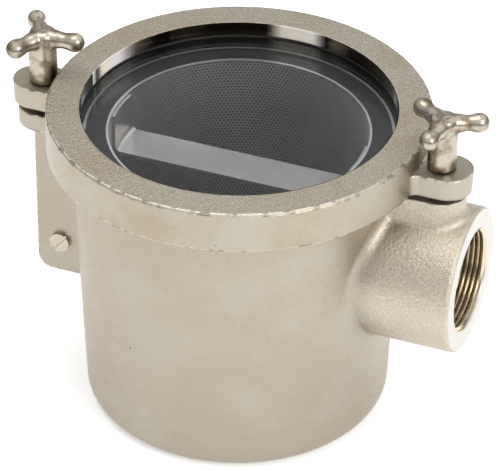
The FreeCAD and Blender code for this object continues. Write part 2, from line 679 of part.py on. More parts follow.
def basket_handle():
    """A bent strap across the basket, its legs curved to the wall they are welded to."""
    body = new_body("basket_handle")
    leg_height = "derived.ledge_height - derived.handle_foot"
    across = new_sketch(body, "strap_outline", "XY_Plane", "derived.handle_foot")
    half = "sizes.handle_width / 2"
    reach = "(sizes.basket_radius + sizes.handle_thickness)"
    polygon(across, [
        (f"-{reach}", f"-{half}"), (reach, f"-{half}"), (reach, half), (f"-{reach}", half),
    ])
    pad(body, "strap", across, leg_height)

    hollow = new_sketch(body, "between_legs", "XY_Plane", "derived.ledge_height")
    leg_outside = "sizes.basket_radius - sizes.weld_gap"
    disc(hollow, "0", "0", f"{leg_outside} - sizes.handle_thickness")
    pocket(body, "space_between_legs", hollow, f"{leg_height} - sizes.handle_thickness")

    trim = new_sketch(body, "wall_line", "XZ_Plane")
    beyond = "sizes.basket_radius + 4 * sizes.handle_thickness"
    polygon(trim, [
        (leg_outside, "derived.handle_foot"), (beyond, "derived.handle_foot"),
        (beyond, "derived.ledge_height"), (leg_outside, "derived.ledge_height"),
    ])
    revolve(body, "trim_to_wall", trim, "PartDesign::Groove")

    outside = size("basket_radius") - size("weld_gap")
    inside = outside - size("handle_thickness")
    foot = size("handle_foot")
    ease(
        body, "outer_bends", lambda p: near(p.z, foot) and near(from_axis(p), outside),
        "sizes.handle_bend",
    )
    ease(
        body, "inner_bends",
        lambda p: near(p.z, foot + size("handle_thickness")) and near(from_axis(p), inside),
        "sizes.handle_bend - sizes.handle_thickness",
    )
    return body


subparts = [
    strainer_body(),
    cover_ring(),
    sight_glass(),
    flat_ring(
        "glass_seal", "derived.glass_top", "sizes.seal_thickness",
        "derived.window_radius", "derived.glass_radius",
    ),
    flat_ring(
        "rim_gasket", "derived.rim_height", "sizes.gasket_thickness",
        "derived.seat_radius + sizes.gasket_inset", "derived.rim_radius",
    ),
    stud("stud_left", -1),
    stud("stud_right", 1),
    hand_nut("hand_nut_left", -1, "sizes.left_nut_turn"),
    hand_nut("hand_nut_right", 1, "sizes.right_nut_turn"),
    bonding_screw(),
    basket_flange(),
    basket_wall(),
    basket_floor(),
    basket_handle(),
]
doc.recompute()

for item in doc.Objects:
    if "Invalid" in item.State or "Error" in item.State:
        raise RuntimeError(f"{item.Label} failed: {item.State}")
for body in subparts:
    if body.Shape.isNull() or not body.Shape.isValid():
        raise RuntimeError(f"{body.Label} has no valid shape")

os.makedirs("parts", exist_ok=True)
for body in subparts:
    body.Shape.exportStep(os.path.join("parts", f"{body.Label}.step"))
    box = body.Shape.BoundBox
    print(f"{body.Label}: {len(body.Shape.Solids)} solid, {body.Shape.Volume:.0f} mm3, "
          f"z {box.ZMin:.1f} to {box.ZMax:.1f}, x {box.XMin:.1f} to {box.XMax:.1f}")
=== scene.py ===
"""Sea water strainer, dressed: a cast pot and cover ring, a sight glass and a lift-out basket.

Metres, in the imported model's frame: the pot stands on z 0 and its side port points along +X.
"""
import math

import bmesh
import bpy
from mathutils import Matrix, Vector


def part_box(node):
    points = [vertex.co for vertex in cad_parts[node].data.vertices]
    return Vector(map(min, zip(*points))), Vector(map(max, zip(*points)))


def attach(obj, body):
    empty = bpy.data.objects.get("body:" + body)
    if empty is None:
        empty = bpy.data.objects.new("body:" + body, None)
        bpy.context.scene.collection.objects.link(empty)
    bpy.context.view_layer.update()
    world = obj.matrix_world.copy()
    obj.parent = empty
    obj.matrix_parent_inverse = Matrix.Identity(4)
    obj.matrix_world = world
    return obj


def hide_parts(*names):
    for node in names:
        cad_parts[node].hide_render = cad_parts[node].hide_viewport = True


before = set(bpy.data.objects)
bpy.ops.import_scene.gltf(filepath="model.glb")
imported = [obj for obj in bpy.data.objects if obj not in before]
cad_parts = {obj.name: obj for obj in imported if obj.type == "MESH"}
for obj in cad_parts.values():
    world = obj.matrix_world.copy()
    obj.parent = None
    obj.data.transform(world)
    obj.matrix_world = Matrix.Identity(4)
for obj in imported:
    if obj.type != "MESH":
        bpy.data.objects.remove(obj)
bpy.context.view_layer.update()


# ---------------------------------------------------------------- cast pot
# The pot, its side port, ears and web are one sand casting in gunmetal, fettled, shot
# blasted and nickel plated. Only the port's face and bore, the rim and the basket's seat
# are machined; the port keeps the coarser skin of its own core box.
MM = 0.001
body_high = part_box("strainer_body")[1]
port_face = body_high.x
rim_height = body_high.z
port_height = 86.0 * MM
port_bore = 23.9 * MM  # radius at the roots of the thread
passage_radius = 20.5 * MM
floor_top = 8.0 * MM


def tint(code):
    """A finish's colour, from its sRGB hex value to linear."""
    parts = [int(code[i:i + 2], 16) / 255 for i in (0, 2, 4)]
    return tuple(c / 12.92 if c <= 0.04045 else ((c + 0.055) / 1.055) ** 2.4 for c in parts) + (1.0,)


def add(tree, kind, inputs=None, **settings):
    """One shader node, with its settings; an input is a value or another node's output."""
    made = tree.nodes.new("ShaderNode" + kind)
    for name, value in settings.items():
        setattr(made, name, value)
    for name, value in (inputs or {}).items():
        if isinstance(value, bpy.types.NodeSocket):
            tree.links.new(value, made.inputs[name])
        else:
            made.inputs[name].default_value = value
    return made


def new_finish(name, metallic, roughness):
    """A material with its shader; returns it with its node tree, shader and coordinates."""
    finish = bpy.data.materials.new(name)
    finish.use_nodes = True
    tree = finish.node_tree
    shader = tree.nodes["Principled BSDF"]
    shader.inputs["Metallic"].default_value = metallic
    shader.inputs["Roughness"].default_value = roughness
    where = add(tree, "TexCoord").outputs["Object"]
    return finish, tree, shader, where


def dress(node, finish):
    """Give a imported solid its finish."""
    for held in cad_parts[node].material_slots:
        held.material = finish


# Nickel over blasted gunmetal: a satin, slightly warm metal, broken up by the blast's fine dimples, by slow
# waves of the cast skin, by stains, and by a few pinholes. Painted shade darkens the dimples, and the edges
# and corners together with grime in the nicks; painted glints and edge highlights brighten it. Each casting
# has its own copy, with a mask for what the lathe cut.
def stains_with_painted_grain_light(tree, where, blast, coarse, cool, warm):
    """Stains between two tones, with painted shade as dark specks in the blast's dimples, and painted
    glints between them.

    Specks and glints are stronger where the coarse mask is full.
    """
    stain = add(tree, "TexNoise", {"Vector": where, "Scale": 1 / (30 * MM), "Detail": 5.0})
    stained = add(tree, "MapRange", {"Value": stain.outputs[0], "From Min": 0.38, "From Max": 0.62})
    toned = add(tree, "MixRGB", {
        "Fac": stained.outputs[0], "Color1": tint(cool), "Color2": tint(warm),
    })
    # painted shade: dark specks in the blast's dimples
    speck_most = add(tree, "MapRange", {"Value": coarse, "To Min": 0.20, "To Max": 0.50})
    speck = add(tree, "MapRange", {
        "Value": blast, "From Min": 0.36, "From Max": 0.54,
        "To Min": speck_most.outputs[0], "To Max": 0.0,
    })
    speckled = add(tree, "MixRGB", {
        "Fac": speck.outputs[0], "Color1": toned.outputs[0], "Color2": tint("9c9282"),
    })
    # painted highlight: glints between the dimples, strongest on the coarse skin
    glint_most = add(tree, "Math", {0: coarse, 1: 0.55}, operation="MULTIPLY")
    glint = add(tree, "MapRange", {
        "Value": blast, "From Min": 0.54, "From Max": 0.66,
        "To Min": 0.0, "To Max": glint_most.outputs[0],
    })
    sparkled = add(tree, "MixRGB", {
        "Fac": glint.outputs[0], "Color1": speckled.outputs[0], "Color2": tint("f3ecdf"),
    })
    return sparkled.outputs[0]


def with_pinholes(tree, where, colour):
    """A colour with small dark pinholes, in about one of five cells of a 12 mm pattern."""
    pit = add(tree, "TexVoronoi", {"Vector": where, "Scale": 1 / (12 * MM), "Randomness": 1.0})
    pit_chance = add(tree, "SeparateColor", {"Color": pit.outputs["Color"]})
    pit_here = add(tree, "Math", {0: pit_chance.outputs[0], 1: 0.78}, operation="GREATER_THAN")
    pit_near = add(tree, "MapRange", {
        "Value": pit.outputs["Distance"], "From Min": 0.050, "From Max": 0.028,
    })
    pinhole = add(tree, "Math", {0: pit_near.outputs[0], 1: pit_here.outputs[0]}, operation="MULTIPLY")
    pitted = add(tree, "MixRGB", {
        "Fac": pinhole.outputs[0], "Color1": colour, "Color2": tint("3a342c"),
    })
    return pitted.outputs[0]


def worn_and_highlit_edges(tree, where, soft_edge):
    """Two masks: the casting's edges, and the stretches of them worn bright by knocks, where a painted
    highlight lies too.
    """
    facing = add(tree, "NewGeometry")
    bend = add(tree, "VectorMath", {0: soft_edge, 1: facing.outputs["Normal"]}, operation="DOT_PRODUCT")
    on_edge = add(tree, "MapRange", {"Value": bend.outputs["Value"], "From Min": 0.995, "From Max": 0.95})
    knocks = add(tree, "TexNoise", {"Vector": where, "Scale": 1 / (4 * MM), "Detail": 5.0})
    knocked = add(tree, "MapRange", {"Value": knocks.outputs[0], "From Min": 0.40, "From Max": 0.50})
    struck_and_highlit = add(tree, "Math", {0: on_edge.outputs[0], 1: knocked.outputs[0]}, operation="MULTIPLY")
    return on_edge.outputs[0], struck_and_highlit.outputs[0]


def cast_skin(name, skin_bump, cool, warm):
    """The satin cast finish: material, tree, shader, coordinates, and cut and coarse masks.

    skin_bump is the strength of the skin's bump where the coarse mask is full, and cool and
    warm are the two tones that its stains run between. The masks are nodes whose inputs are
    still free: cut is full where the lathe has been, coarse where the skin is roughest.
    """
    finish, tree, shader, where = new_finish(name, 1.0, 0.4)
    cut = add(tree, "Math", {0: 0.0, 1: 0.0}, operation="MAXIMUM")
    coarse = add(tree, "Math", {0: 0.0, 1: 0.0}, operation="MAXIMUM")
    blast = add(tree, "TexNoise", {"Vector": where, "Scale": 1 / (0.65 * MM), "Detail": 3.0})
    skin = add(tree, "TexNoise", {"Vector": where, "Scale": 1 / (2.0 * MM), "Detail": 4.0})
    wave = add(tree, "TexNoise", {"Vector": where, "Scale": 1 / (16 * MM), "Detail": 2.0})

    # tumbling and plating soften the edges: knocks wear stretches of them bright, with a painted highlight
    # on them, and every edge and corner is darkened, partly by grime in the nicks and partly by painted
    # shade
    soft_edge = add(tree, "Bevel", {"Radius": 1.2 * MM}, samples=4)
    on_edge, struck_and_highlit = worn_and_highlit_edges(tree, where, soft_edge.outputs[0])
    edge_grime_and_shade = add(tree, "Math", {0: on_edge, 1: 0.85}, operation="MULTIPLY")
    bright = add(tree, "Math", {0: cut.outputs[0], 1: struck_and_highlit}, operation="MAXIMUM")
    toned = stains_with_painted_grain_light(tree, where, blast.outputs[0], coarse.outputs[0], cool, warm)
    # grime in the nicks and painted shade in the corners darken every edge
    grimed_and_shaded = add(tree, "MixRGB", {
        "Fac": edge_grime_and_shade.outputs[0], "Color1": with_pinholes(tree, where, toned),
        "Color2": tint("42382b"),
    })
    # cut metal and the painted highlight on knocked stretches of edge take one bright tone
    surface = add(tree, "MixRGB", {
        "Fac": bright.outputs[0], "Color1": grimed_and_shaded.outputs[0], "Color2": tint("e9e2d5"),
    })
    tree.links.new(surface.outputs[0], shader.inputs["Base Color"])

    cast_rough = add(tree, "MapRange", {
        "Value": skin.outputs[0], "From Min": 0.3, "From Max": 0.7, "To Min": 0.36, "To Max": 0.46,
    })
    rough = add(tree, "MapRange", {
        "Value": bright.outputs[0], "To Min": cast_rough.outputs[0], "To Max": 0.24,
    })
    tree.links.new(rough.outputs[0], shader.inputs["Roughness"])

    # what the lathe has cut keeps the softened edges and the slow waves, but not the skin
    uncut = add(tree, "Math", {0: 1.0, 1: cut.outputs[0]}, operation="SUBTRACT")
    depth = add(tree, "MapRange", {"Value": coarse.outputs[0], "To Min": 0.22, "To Max": skin_bump})
    depth_here = add(tree, "Math", {0: depth.outputs[0], 1: uncut.outputs[0]}, operation="MULTIPLY")
    waved = add(tree, "Bump", {
        "Height": wave.outputs[0], "Strength": 0.08, "Distance": 0.8 * MM,
        "Normal": soft_edge.outputs[0],
    })
    skinned = add(tree, "Bump", {
        "Height": skin.outputs[0], "Strength": depth_here.outputs[0], "Distance": 0.5 * MM,
        "Normal": waved.outputs[0],
    })
    blasted = add(tree, "Bump", {
        "Height": blast.outputs[0], "Strength": depth_here.outputs[0], "Distance": 0.5 * MM,
        "Normal": skinned.outputs[0],
    })
    tree.links.new(blasted.outputs[0], shader.inputs["Normal"])
    return finish, tree, shader, where, cut, coarse


def distance_from_axis(tree, place):
    """How far a place lies from the pot's upright axis."""
    plan = add(tree, "CombineXYZ", {"X": place.outputs["X"], "Y": place.outputs["Y"]})
    from_axis = add(tree, "VectorMath", {0: plan.outputs[0]}, operation="LENGTH")
    return from_axis.outputs["Value"]


pot_nickel, tree, shader, where, cut, coarse = cast_skin(
    "nickel_plated_pot_casting", skin_bump=0.65, cool="ada698", warm="aba08f",
)
place = add(tree, "SeparateXYZ", {0: where})

# the port's coarser skin sets in where it leaves the pot
on_port = add(tree, "MapRange", {
    "Value": place.outputs["X"], "From Min": 66 * MM, "From Max": 84 * MM,
}, interpolation_type="SMOOTHSTEP")
tree.links.new(on_port.outputs[0], coarse.inputs[0])

# the lathe has cut the port's bore, its face and the pot's rim
bore_start = 72 * MM
face_margin = 0.1 * MM  # what is this near a machined face belongs to it
height_off = add(tree, "Math", {0: place.outputs["Z"], 1: port_height}, operation="SUBTRACT")
across = add(tree, "CombineXYZ", {"Y": place.outputs["Y"], "Z": height_off.outputs[0]})
from_port = add(tree, "VectorMath", {0: across.outputs[0]}, operation="LENGTH")
in_bore = add(tree, "Math", {
    0: from_port.outputs["Value"], 1: port_bore + 0.5 * MM,
}, operation="LESS_THAN")
past_neck = add(tree, "Math", {0: place.outputs["X"], 1: bore_start}, operation="GREATER_THAN")
bored = add(tree, "Math", {0: in_bore.outputs[0], 1: past_neck.outputs[0]}, operation="MULTIPLY")
faced = add(tree, "Math", {0: place.outputs["X"], 1: port_face - face_margin}, operation="GREATER_THAN")
topped = add(tree, "Math", {0: place.outputs["Z"], 1: rim_height - face_margin}, operation="GREATER_THAN")
turned = add(tree, "Math", {0: bored.outputs[0], 1: faced.outputs[0]}, operation="MAXIMUM")
tree.links.new(turned.outputs[0], cut.inputs[0])
tree.links.new(topped.outputs[0], cut.inputs[1])

# painted shade darkens the inside, up to the rim and out through the port's passage; inside means nearer
# the axis than the middle of the wall, which leans outwards as the pot tapers
wall_middle_at_base = 68 * MM
wall_lean = 0.03
passage_start = 40 * MM
from_axis = distance_from_axis(tree, place)
wall_middle = add(tree, "Math", {
    0: place.outputs["Z"], 1: wall_lean, 2: wall_middle_at_base,
}, operation="MULTIPLY_ADD")
in_pot = add(tree, "Math", {0: from_axis, 1: wall_middle.outputs[0]}, operation="LESS_THAN")
off_floor = add(tree, "Math", {0: place.outputs["Z"], 1: floor_top - 0.5 * MM}, operation="GREATER_THAN")
inside_pot = add(tree, "Math", {0: in_pot.outputs[0], 1: off_floor.outputs[0]}, operation="MULTIPLY")
near_passage = add(tree, "Math", {
    0: from_port.outputs["Value"], 1: passage_radius + 1 * MM,
}, operation="LESS_THAN")
port_side = add(tree, "Math", {0: place.outputs["X"], 1: passage_start}, operation="GREATER_THAN")
in_passage = add(tree, "Math", {0: near_passage.outputs[0], 1: port_side.outputs[0]}, operation="MULTIPLY")
painted_inside_shade = add(tree, "Math", {0: inside_pot.outputs[0], 1: in_passage.outputs[0]}, operation="MAXIMUM")

# painted light brightens the port's coarse skin, its cut face is plainer, and painted shade makes the
# inside nearly black
outside_colour = shader.inputs["Base Color"].links[0].from_socket
painted_light_on_port = add(tree, "Math", {0: on_port.outputs[0], 1: 0.42}, operation="MULTIPLY")
port_painted_bright = add(tree, "MixRGB", {
    "Fac": painted_light_on_port.outputs[0], "Color1": outside_colour, "Color2": tint("ded4c1"),
})
face_toned = add(tree, "MixRGB", {
    "Fac": faced.outputs[0], "Color1": port_painted_bright.outputs[0], "Color2": tint("c2beb5"),
})
# painted shade: the inside and the passage are painted nearly black
inside_shaded = add(tree, "MixRGB", {
    "Fac": painted_inside_shade.outputs[0], "Color1": face_toned.outputs[0], "Color2": tint("37322a"),
})
tree.links.new(inside_shaded.outputs[0], shader.inputs["Base Color"])
dress("strainer_body", pot_nickel)


# ---------------------------------------------------------------- threads of the ports
# Each port is tapped with a parallel pipe thread, eleven threads to the inch, cut after
# casting. The plated flanks are bright, filmed here and there with browned oil.
thread_pitch = 2.309 * MM
thread_length = 24 * MM
countersink = 0.3 * MM
steps_a_turn = 64
# a ridge from root to crest and back: its radius less the bore's, in millimetres, and its
# place as a share of the pitch
ridge_outline = (
    (0.10, 0.06), (-0.12, 0.10), (-0.25, 0.17), (-1.36, 0.40), (-1.48, 0.46),
    (-1.48, 0.54), (-1.36, 0.60), (-0.25, 0.83), (-0.12, 0.90), (0.10, 0.94),
)

cut_nickel, tree, shader, where = new_finish("nickel_plated_cut_thread", 1.0, 0.16)
oil = add(tree, "TexNoise", {"Vector": where, "Scale": 1 / (5 * MM), "Detail": 4.0})
oiled = add(tree, "MixRGB", {"Fac": oil.outputs[0], "Color1": tint("e6dcc8"), "Color2": tint("b9a584")})
tree.links.new(oiled.outputs[0], shader.inputs["Base Color"])


def finish_mesh(name, bm, finish, body, smooth_angle=None):
    """A piece from a finished mesh, riding on a body; edges under smooth_angle degrees are smooth."""
    mesh = bpy.data.meshes.new(name)
    bm.to_mesh(mesh)
    bm.free()
    piece = bpy.data.objects.new(name, mesh)
    bpy.context.scene.collection.objects.link(piece)
    mesh.materials.append(finish)
    if smooth_angle is not None:
        mesh.shade_smooth()
        mesh.set_sharp_from_angle(angle=math.radians(smooth_angle))
    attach(piece, body)
    return piece


def cut_port_thread(name, bore_axis):
    """A helical ridge from the blind end of a port's thread to its mouth, along +Z, then placed."""
    turns = (thread_length - face_margin) / thread_pitch - ridge_outline[-1][1]
    bm = bmesh.new()
    section = bm.faces.new([
        bm.verts.new((port_bore + rise * MM, 0, share * thread_pitch)) for rise, share in ridge_outline
    ])
    bmesh.ops.spin(
        bm, geom=[section], cent=(0, 0, 0), axis=(0, 0, 1), angle=math.tau * turns,
        dvec=(0, 0, thread_pitch / steps_a_turn), steps=round(steps_a_turn * turns),
        use_duplicate=False,
    )
    # the mouth is countersunk, so the ridge runs out on a cone there
    for vert in bm.verts:
        radius = math.hypot(vert.co.x, vert.co.y)
        depth = thread_length - vert.co.z
        least = port_bore + countersink - depth
        if radius < least:
            vert.co.x *= least / radius
            vert.co.y *= least / radius
    bmesh.ops.recalc_face_normals(bm, faces=bm.faces[:])
    bmesh.ops.transform(bm, matrix=bore_axis, verts=bm.verts[:])
    finish_mesh(name, bm, cut_nickel, "pot", smooth_angle=60)


side_end = Matrix.Translation((port_face - thread_length, 0, port_height))
cut_port_thread("side_port_thread", side_end @ Matrix.Rotation(math.pi / 2, 4, "Y"))
bottom_end = Matrix.Translation((0, 0, thread_length))
cut_port_thread("bottom_port_thread", bottom_end @ Matrix.Rotation(math.pi, 4, "X"))


# ---------------------------------------------------------------- studs and bonding screw
# Turned brass, nickel plated: an M8 stud is screwed into each of the pot's ears, and a
# slotted screw in the web takes the bonding wire. Rolled threads catch the light as rings.
turned_brass, tree, shader, where = new_finish("nickel_plated_turned_brass", 1.0, 0.26)
tarnish_and_painted_reflections = add(tree, "TexNoise", {"Vector": where, "Scale": 1 / (3 * MM), "Detail": 3.0})
toned = add(tree, "MixRGB", {
    "Fac": tarnish_and_painted_reflections.outputs[0], "Color1": tint("cfc6b6"), "Color2": tint("a99c86"),
})
tree.links.new(toned.outputs[0], shader.inputs["Base Color"])
soft_edge = add(tree, "Bevel", {"Radius": 0.25 * MM}, samples=4)
turning = add(tree, "TexNoise", {"Vector": where, "Scale": 1 / (0.5 * MM), "Detail": 1.0})
turned_bump = add(tree, "Bump", {
    "Height": turning.outputs[0], "Strength": 0.12, "Distance": 0.1 * MM,
    "Normal": soft_edge.outputs[0],
})
tree.links.new(turned_bump.outputs[0], shader.inputs["Normal"])
dress("bonding_screw", turned_brass)

# a rolled thread: bright crests a pitch apart, with painted shade in the roots between them
stud_pitch = 1.25 * MM
wave_repeat = math.tau / 20  # a wave texture of scale 1 repeats at this distance
rolled_brass, tree, shader, where = new_finish("nickel_plated_rolled_thread", 1.0, 0.28)
ridges = add(tree, "TexWave", {
    "Vector": where, "Scale": wave_repeat / stud_pitch, "Distortion": 0.0,
}, bands_direction="Z")
root_shade = add(tree, "MixRGB", {
    "Fac": ridges.outputs["Fac"], "Color1": tint("57503f"), "Color2": tint("cfc7b8"),
})
tree.links.new(root_shade.outputs[0], shader.inputs["Base Color"])
ridge_bump = add(tree, "Bump", {
    "Height": ridges.outputs["Fac"], "Strength": 0.9, "Distance": 0.6 * MM,
})
tree.links.new(ridge_bump.outputs[0], shader.inputs["Normal"])
for node in ("stud_left", "stud_right"):
    dress(node, rolled_brass)


# ---------------------------------------------------------------- basket
# Stainless sheet, spot welded: a pressed flange whose rolled edge carries a painted highlight, a rolled
# wall of fine perforated sheet between plain margins, a pressed floor, and a bent strap handle.
wall_low, wall_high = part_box("basket_wall")
flange_low, flange_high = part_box("basket_flange")
wall_outside = wall_high.x
flange_outside = flange_high.x
sheet_gauge = 0.9 * MM
flange_gauge = 1.2 * MM

# rolled sheet, dark and satin; its bare edges carry a painted highlight
rolled_sheet, tree, shader, where = new_finish("rolled_stainless_sheet", 1.0, 0.38)
place = add(tree, "SeparateXYZ", {0: where})
from_axis = distance_from_axis(tree, place)
smear = add(tree, "TexNoise", {"Vector": where, "Scale": 1 / (18 * MM), "Detail": 4.0})
dark_sheet = add(tree, "MixRGB", {
    "Fac": smear.outputs[0], "Color1": tint("403f42"), "Color2": tint("4e4b49"),
})
flange_edge = add(tree, "MapRange", {
    "Value": from_axis, "From Min": flange_outside - 1.5 * MM, "From Max": flange_outside - 1.1 * MM,
})
on_wall = add(tree, "Math", {0: from_axis, 1: wall_outside + 0.1 * MM}, operation="LESS_THAN")
at_brim = add(tree, "Math", {0: place.outputs["Z"], 1: wall_high.z - 0.7 * MM}, operation="GREATER_THAN")
wall_brim = add(tree, "Math", {0: on_wall.outputs[0], 1: at_brim.outputs[0]}, operation="MULTIPLY")
# painted highlight along the flange's rolled edge and the wall's brim
painted_edge_highlight = add(tree, "Math", {0: flange_edge.outputs[0], 1: wall_brim.outputs[0]}, operation="MAXIMUM")
edge_highlighted = add(tree, "MixRGB", {
    "Fac": painted_edge_highlight.outputs[0], "Color1": dark_sheet.outputs[0], "Color2": tint("f0eeea"),
})
# painted shade: the skirt behind the wall's top rows is painted almost black
skirt_foot = flange_low.z - 0.2 * MM
skirt_head = flange_high.z - flange_gauge - 0.1 * MM
over_skirt_foot = add(tree, "Math", {0: place.outputs["Z"], 1: skirt_foot}, operation="GREATER_THAN")
under_flange = add(tree, "Math", {0: place.outputs["Z"], 1: skirt_head}, operation="LESS_THAN")
skirt = add(tree, "Math", {0: over_skirt_foot.outputs[0], 1: under_flange.outputs[0]}, operation="MULTIPLY")
skirt_painted_shade = add(tree, "MixRGB", {
    "Fac": skirt.outputs[0], "Color1": edge_highlighted.outputs[0], "Color2": tint("1b1b1e"),
})
tree.links.new(skirt_painted_shade.outputs[0], shader.inputs["Base Color"])
sheet_rough = add(tree, "MapRange", {"Value": smear.outputs[0], "To Min": 0.30, "To Max": 0.46})
tree.links.new(sheet_rough.outputs[0], shader.inputs["Roughness"])
rolling = add(tree, "TexNoise", {"Vector": where, "Scale": 1 / (0.6 * MM), "Detail": 2.0})
sheet_bump = add(tree, "Bump", {
    "Height": rolling.outputs[0], "Strength": 0.15, "Distance": 0.1 * MM,
})
tree.links.new(sheet_bump.outputs[0], shader.inputs["Normal"])
for node in ("basket_flange", "basket_floor"):
    dress(node, rolled_sheet)

# strap brushed along its length: a soft sheen that stretches across the grain
brushed_strap, tree, shader, where = new_finish("brushed_stainless_strap", 1.0, 0.3)
grain_run = add(tree, "Mapping", {"Vector": where, "Scale": (0.04, 1.0, 1.0)})
grain = add(tree, "TexNoise", {"Vector": grain_run.outputs[0], "Scale": 1 / (0.35 * MM), "Detail": 3.0})
brushed = add(tree, "MixRGB", {
    "Fac": grain.outputs[0], "Color1": tint("d2cec8"), "Color2": tint("e8e4dd"),
})
tree.links.new(brushed.outputs[0], shader.inputs["Base Color"])
grain_rough = add(tree, "MapRange", {"Value": grain.outputs[0], "To Min": 0.26, "To Max": 0.42})
tree.links.new(grain_rough.outputs[0], shader.inputs["Roughness"])
grain_bump = add(tree, "Bump", {"Height": grain.outputs[0], "Strength": 0.2, "Distance": 0.08 * MM})
tree.links.new(grain_bump.outputs[0], shader.inputs["Normal"])
dress("basket_handle", brushed_strap)

# perforated sheet, paler than the basket's plain sheet
sieve_steel, tree, shader, where = new_finish("perforated_stainless_sheet", 1.0, 0.4)
smear = add(tree, "TexNoise", {"Vector": where, "Scale": 1 / (14 * MM), "Detail": 4.0})
cloudy = add(tree, "MixRGB", {
    "Fac": smear.outputs[0], "Color1": tint("dddadf"), "Color2": tint("e6e3de"),
})
tree.links.new(cloudy.outputs[0], shader.inputs["Base Color"])
sieve_rough = add(tree, "MapRange", {"Value": smear.outputs[0], "To Min": 0.34, "To Max": 0.48})
tree.links.new(sieve_rough.outputs[0], shader.inputs["Roughness"])

# the holes stand in staggered rows, and six webs surround each
sheets = 3
holes_round = 210
sieve_rows = 72
wall_middle_radius = wall_outside - sheet_gauge / 2
hole_pitch = math.tau * wall_middle_radius / holes_round
hole_share = 0.40  # a hole's radius as a share of the pitch
web_reach = hole_pitch / math.sqrt(3)
row_step = 1.5 * web_reach
sieve_foot = wall_low.z + 7 * MM
sieve_top = sieve_foot + sieve_rows * row_step


def roll_sieve(name, turn):
    """One sheet of the perforated wall: a net of webs, rolled round the axis from an angle.

    A web is the triangle between three holes' centres, with its corners cut back to the holes.
    """
    bm = bmesh.new()
    beside = Matrix.Translation((hole_pitch / 2, web_reach / 2, 0)) @ Matrix.Rotation(math.pi, 4, "Z")
    for spot in (Matrix.Identity(4), beside):
        bmesh.ops.create_circle(bm, cap_ends=True, segments=3, radius=web_reach, matrix=spot)
    bmesh.ops.bevel(
        bm, geom=bm.verts[:], offset=hole_share * hole_pitch, offset_type="OFFSET", segments=1,
        profile=0.5, affect="VERTICES", material=-1,
    )
    # the two webs repeat along a row, a second row is staggered, and the pair repeats upwards
    for step, times in (
        ((hole_pitch, 0, 0), holes_round // sheets - 1),
        ((hole_pitch / 2, row_step, 0), 1),
        ((0, 2 * row_step, 0), sieve_rows // 2 - 1),
    ):
        bmesh.ops.spin(
            bm, geom=bm.verts[:] + bm.edges[:] + bm.faces[:], cent=(0, 0, 0), axis=(0, 0, 1),
            angle=0, dvec=step, steps=times, use_duplicate=True,
        )
    bmesh.ops.remove_doubles(bm, verts=bm.verts[:], dist=0.02 * MM)
    for vert in bm.verts:
        along = vert.co.x / wall_middle_radius + turn
        height = sieve_foot + vert.co.y
        vert.co = (wall_middle_radius * math.cos(along), wall_middle_radius * math.sin(along), height)
    bmesh.ops.recalc_face_normals(bm, faces=bm.faces[:])
    piece = finish_mesh(name, bm, sieve_steel, "pot")
    gauge = piece.modifiers.new("sheet_gauge", "SOLIDIFY")
    gauge.thickness = sheet_gauge
    gauge.offset = 0.0
    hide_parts("basket_wall")


for sheet in range(sheets):
    roll_sieve(f"basket_sieve_{sheet + 1}", math.tau * sheet / sheets)


def turn_form(bm, outline, place, steps, closed=False):
    """A form turned from its outline of radii and heights, then put in its place."""
    before = set(bm.verts)
    start = [bm.verts.new((r, 0, z)) for r, z in outline]
    onwards = start[1:] + start[:1] if closed else start[1:]
    profile = [bm.edges.new(pair) for pair in zip(start, onwards)]
    bmesh.ops.spin(
        bm, geom=start + profile, cent=(0, 0, 0), axis=(0, 0, 1), angle=math.tau, steps=steps,
        use_merge=True,
    )
    made = [vert for vert in bm.verts if vert not in before]
    bmesh.ops.transform(bm, matrix=place, verts=made)


def roll_margin(name, low, high):
    """A plain margin of the basket's wall, a hair proud of the perforated sheet it hems."""
    proud = 0.02 * MM
    inside = wall_outside - sheet_gauge - proud
    outside = wall_outside + proud
    corners = ((inside, low), (outside, low), (outside, high), (inside, high))
    bm = bmesh.new()
    turn_form(bm, corners, Matrix.Identity(4), steps=144, closed=True)
    bmesh.ops.recalc_face_normals(bm, faces=bm.faces[:])
    piece = finish_mesh(name, bm, rolled_sheet, "pot", smooth_angle=40)
    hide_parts("basket_wall")


roll_margin("basket_wall_foot_margin", wall_low.z, sieve_foot + 0.2 * MM)
roll_margin("basket_wall_top_margin", sieve_top - 0.4 * MM, wall_high.z)


# ---------------------------------------------------------------- gasket and seal
# Black nitrile rubber, cut from sheet: matt, with the sheet's fine grain and a faint bloom.
# The gasket lies on the pot's rim, and the seal between the glass and the cover's lip.
nitrile, tree, shader, where = new_finish("black_nitrile_rubber", 0.0, 0.62)
bloom = add(tree, "TexNoise", {"Vector": where, "Scale": 1 / (9 * MM), "Detail": 4.0})
bloomed = add(tree, "MixRGB", {
    "Fac": bloom.outputs[0], "Color1": tint("161617"), "Color2": tint("242425"),
})
tree.links.new(bloomed.outputs[0], shader.inputs["Base Color"])
grain = add(tree, "TexNoise", {"Vector": where, "Scale": 1 / (0.7 * MM), "Detail": 2.0})
rubber_rough = add(tree, "MapRange", {"Value": grain.outputs[0], "To Min": 0.52, "To Max": 0.72})
tree.links.new(rubber_rough.outputs[0], shader.inputs["Roughness"])
rubber_bump = add(tree, "Bump", {"Height": grain.outputs[0], "Strength": 0.2, "Distance": 0.1 * MM})
tree.links.new(rubber_bump.outputs[0], shader.inputs["Normal"])
for node in ("rim_gasket", "glass_seal"):
    dress(node, nitrile)


